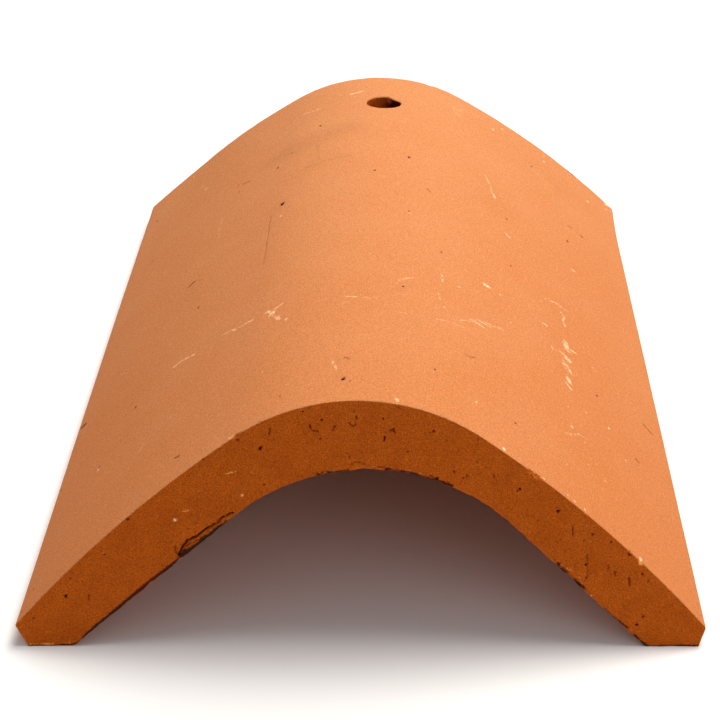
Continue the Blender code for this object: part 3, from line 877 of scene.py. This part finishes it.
# Fired terracotta, unglazed and matt. The smoothed skin is paler and dusty, and paler still up the
# crown and towards the head end, partly dust and partly painted light; the cut ends show the deeper
# orange body of the clay, and scuffs, flakes and grains of lime are paler still.
clay_paint = bpy.data.materials.new("fired_terracotta")
clay_paint.use_nodes = True
tree = clay_paint.node_tree
shader = tree.nodes["Principled BSDF"]


def paint_node(kind, **settings):
    """A node of the clay's paint, with its named settings."""
    node = tree.nodes.new(kind)
    for name, value in settings.items():
        setattr(node, name, value)
    return node


def speckle(size_mm, detail, roughness):
    """Noise over the tile with lumps of this size."""
    node = paint_node("ShaderNodeTexNoise")
    node.inputs["Scale"].default_value = 1.0 / (size_mm * MM)
    node.inputs["Detail"].default_value = detail
    node.inputs["Roughness"].default_value = roughness
    tree.links.new(clay_place.outputs["Object"], node.inputs["Vector"])
    return node.outputs["Fac"]


def spread(value, low, high, to_low=0.0, to_high=1.0):
    """A value stretched from one range to another and held inside it."""
    node = paint_node("ShaderNodeMapRange")
    tree.links.new(value, node.inputs["Value"])
    for name, number in (("From Min", low), ("From Max", high), ("To Min", to_low), ("To Max", to_high)):
        node.inputs[name].default_value = number
    return node.outputs["Result"]


def sums(kind, first, second):
    """Two values added or multiplied."""
    node = paint_node("ShaderNodeMath", operation=kind)
    for socket, value in zip(node.inputs, (first, second)):
        if isinstance(value, float):
            socket.default_value = value
        else:
            tree.links.new(value, socket)
    return node.outputs[0]


def blend(share, under, over, kind="MIX"):
    """One colour laid over another, or multiplied into it, by a share."""
    node = paint_node("ShaderNodeMix", data_type="RGBA", blend_type=kind)
    # For colours this node takes its share at input 0 and the two colours at inputs 6 and 7
    for socket, value in ((node.inputs[0], share), (node.inputs[6], under), (node.inputs[7], over)):
        if isinstance(value, (float, tuple)):
            socket.default_value = value if isinstance(value, float) else (*value, 1.0)
        else:
            tree.links.new(value, socket)
    return node.outputs[2]


clay_place = paint_node("ShaderNodeTexCoord")
height_and_length = paint_node("ShaderNodeSeparateXYZ")
tree.links.new(clay_place.outputs["Object"], height_and_length.inputs["Vector"])
fresh_mark = paint_node("ShaderNodeAttribute", attribute_name="fresh_clay").outputs["Fac"]
dark_mark = paint_node("ShaderNodeAttribute", attribute_name="stains_and_painted_shade").outputs["Fac"]
pale_mark = paint_node("ShaderNodeAttribute", attribute_name="pale_marks").outputs["Fac"]

SKIN_COLOUR = (0.575, 0.185, 0.053)
DUSTY_AND_LIT_SKIN = (0.635, 0.245, 0.093)
CUT_COLOUR = (0.475, 0.090, 0.003)
CUT_SHADE = (0.38, 0.063, 0.002)
SCUFF_COLOUR = (0.94, 0.54, 0.29)
LIME_COLOUR = (0.98, 0.86, 0.66)
FLAKE_COLOUR = (0.90, 0.34, 0.06)
# A red-brown for dirt and painted shade in hollows and dark lines, and a near-black painted shadow for the
# strongest of them
DIRT_AND_SHADE_COLOUR = (0.075, 0.007, 0.0006)
PAINTED_SHADOW_COLOUR = (0.016, 0.008, 0.005)
GRIT_COLOUR = (0.88, 0.52, 0.30)

mottle = speckle(size_mm=30.0, detail=3.0, roughness=0.5)
cloud = speckle(size_mm=7.0, detail=3.0, roughness=0.6)
fine = speckle(size_mm=0.38, detail=2.0, roughness=0.8)
grit = speckle(size_mm=0.8, detail=2.0, roughness=0.7)
# Painted light, partly dust: the skin is laid paler up the crown and towards the head end, where the light
# falls brighter
dust_and_painted_light = spread(height_and_length.outputs["Z"], 0.030, 0.072, 0.05, 0.55)
dust_and_painted_light = sums("ADD", dust_and_painted_light, spread(height_and_length.outputs["Y"], -0.13, 0.14, -0.1, 0.55))
dust_and_painted_light = sums("ADD", dust_and_painted_light, spread(mottle, 0.3, 0.7, -0.14, 0.14))
skin_paint = blend(spread(dust_and_painted_light, 0.0, 1.0), SKIN_COLOUR, DUSTY_AND_LIT_SKIN)
skin_paint = blend(spread(grit, 0.64, 0.78, 0.0, 0.18), skin_paint, GRIT_COLOUR)
skin_paint = blend(1.0, skin_paint, spread(fine, 0.3, 0.7, 0.70, 1.30), "MULTIPLY")
skin_paint = blend(1.0, skin_paint, spread(grit, 0.35, 0.65, 0.94, 1.06), "MULTIPLY")
cut_paint = blend(spread(cloud, 0.35, 0.7, 0.0, 0.55), CUT_COLOUR, CUT_SHADE)
cut_paint = blend(1.0, cut_paint, spread(fine, 0.3, 0.7, 0.50, 1.47), "MULTIPLY")
strands = spread(speckle(size_mm=0.6, detail=2.0, roughness=0.8), 0.3, 0.7, -0.45, 0.45)
ragged_edge = sums("ADD", fresh_mark, sums("MULTIPLY", strands, 0.3))
clay = blend(spread(ragged_edge, 0.35, 0.65), skin_paint, cut_paint)
# The dark marks, stains and painted shade together, laid over the clay
darkened = spread(sums("ADD", dark_mark, sums("MULTIPLY", strands, 0.35)), 0.45, 0.7, 0.0, 0.5)
darkening = blend(spread(dark_mark, 0.91, 0.98), DIRT_AND_SHADE_COLOUR, PAINTED_SHADOW_COLOUR)
clay = blend(sums("ADD", spread(dark_mark, 0.0, 0.5, 0.0, 0.46), darkened), clay, darkening)
scuffed = spread(sums("ADD", pale_mark, strands), 0.24, 0.5)
scuffed = sums("MULTIPLY", scuffed, spread(pale_mark, 0.0, 0.7, 0.0, 1.0))
scuffed = sums("MULTIPLY", scuffed, spread(grit, 0.35, 0.65, 1.0, 0.6))
rubbed = blend(fresh_mark, SCUFF_COLOUR, FLAKE_COLOUR)
clay = blend(scuffed, clay, blend(spread(pale_mark, 0.88, 0.97), rubbed, LIME_COLOUR))
tree.links.new(clay, shader.inputs["Base Color"])
tree.links.new(spread(cloud, 0.3, 0.7, 0.84, 0.95), shader.inputs["Roughness"])
shader.inputs["Specular IOR Level"].default_value = 0.12
grain_bump = paint_node("ShaderNodeBump")
grain_bump.inputs["Strength"].default_value = 0.6
grain_bump.inputs["Distance"].default_value = 0.00025
tree.links.new(fine, grain_bump.inputs["Height"])
tree.links.new(grain_bump.outputs["Normal"], shader.inputs["Normal"])
mesh.materials.clear()
mesh.materials.append(clay_paint)
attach(clay_tile, "root")
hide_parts("roof_tile")

# The floor is one wide sheet of pale matt board under the tile's feet. It belongs to the studio, as
# the photograph shows the tile cut out on plain white.
FLOOR_REACH = 6.0
FLOOR_COLOUR = (0.9, 0.9, 0.9, 1.0)

floor_mesh = bpy.data.meshes.new("studio_floor")
square = ((-1.0, -1.0), (1.0, -1.0), (1.0, 1.0), (-1.0, 1.0))
floor_corners = [(across * FLOOR_REACH, along * FLOOR_REACH, 0.0) for across, along in square]
floor_mesh.from_pydata(floor_corners, [], [(0, 1, 2, 3)])
floor = bpy.data.objects.new("studio_floor", floor_mesh)
floor_paint = bpy.data.materials.new("pale_floor")
floor_paint.use_nodes = True
floor_shader = floor_paint.node_tree.nodes["Principled BSDF"]
floor_shader.inputs["Base Color"].default_value = FLOOR_COLOUR
floor_shader.inputs["Roughness"].default_value = 0.9
floor_mesh.materials.append(floor_paint)
bpy.context.scene.collection.objects.link(floor)

# The light is soft and comes from high on the right, a little behind the tile, so its crown and
# right flank are bright and the cut end is in its own shade. A weak front box and a faint bluish
# surround open up the shaded sides.
world = bpy.data.worlds.new("studio_light")
world.use_nodes = True
surround = world.node_tree.nodes["Background"]
surround.inputs["Color"].default_value = (0.93, 0.97, 1.0, 1.0)
surround.inputs["Strength"].default_value = 0.36
bpy.context.scene.world = world


def softbox(name, size, energy, place, colour=(1.0, 1.0, 1.0)):
    """A square light that faces the middle of the tile's feet."""
    light = bpy.data.lights.new(name, "AREA")
    light.shape = "SQUARE"
    light.size = size
    light.energy = energy
    light.color = colour
    box = bpy.data.objects.new(name, light)
    box.location = place
    box.rotation_euler = (-Vector(box.location)).to_track_quat("-Z", "Y").to_euler()
    bpy.context.scene.collection.objects.link(box)


softbox("key_softbox", size=1.0, energy=32.6, place=(0.46, 0.37, 1.5), colour=(1.0, 0.96, 0.90))
softbox("fill_softbox", size=0.9, energy=1.8, place=(0.85, -1.15, 0.55))
bpy.context.scene.view_settings.view_transform = "Standard"
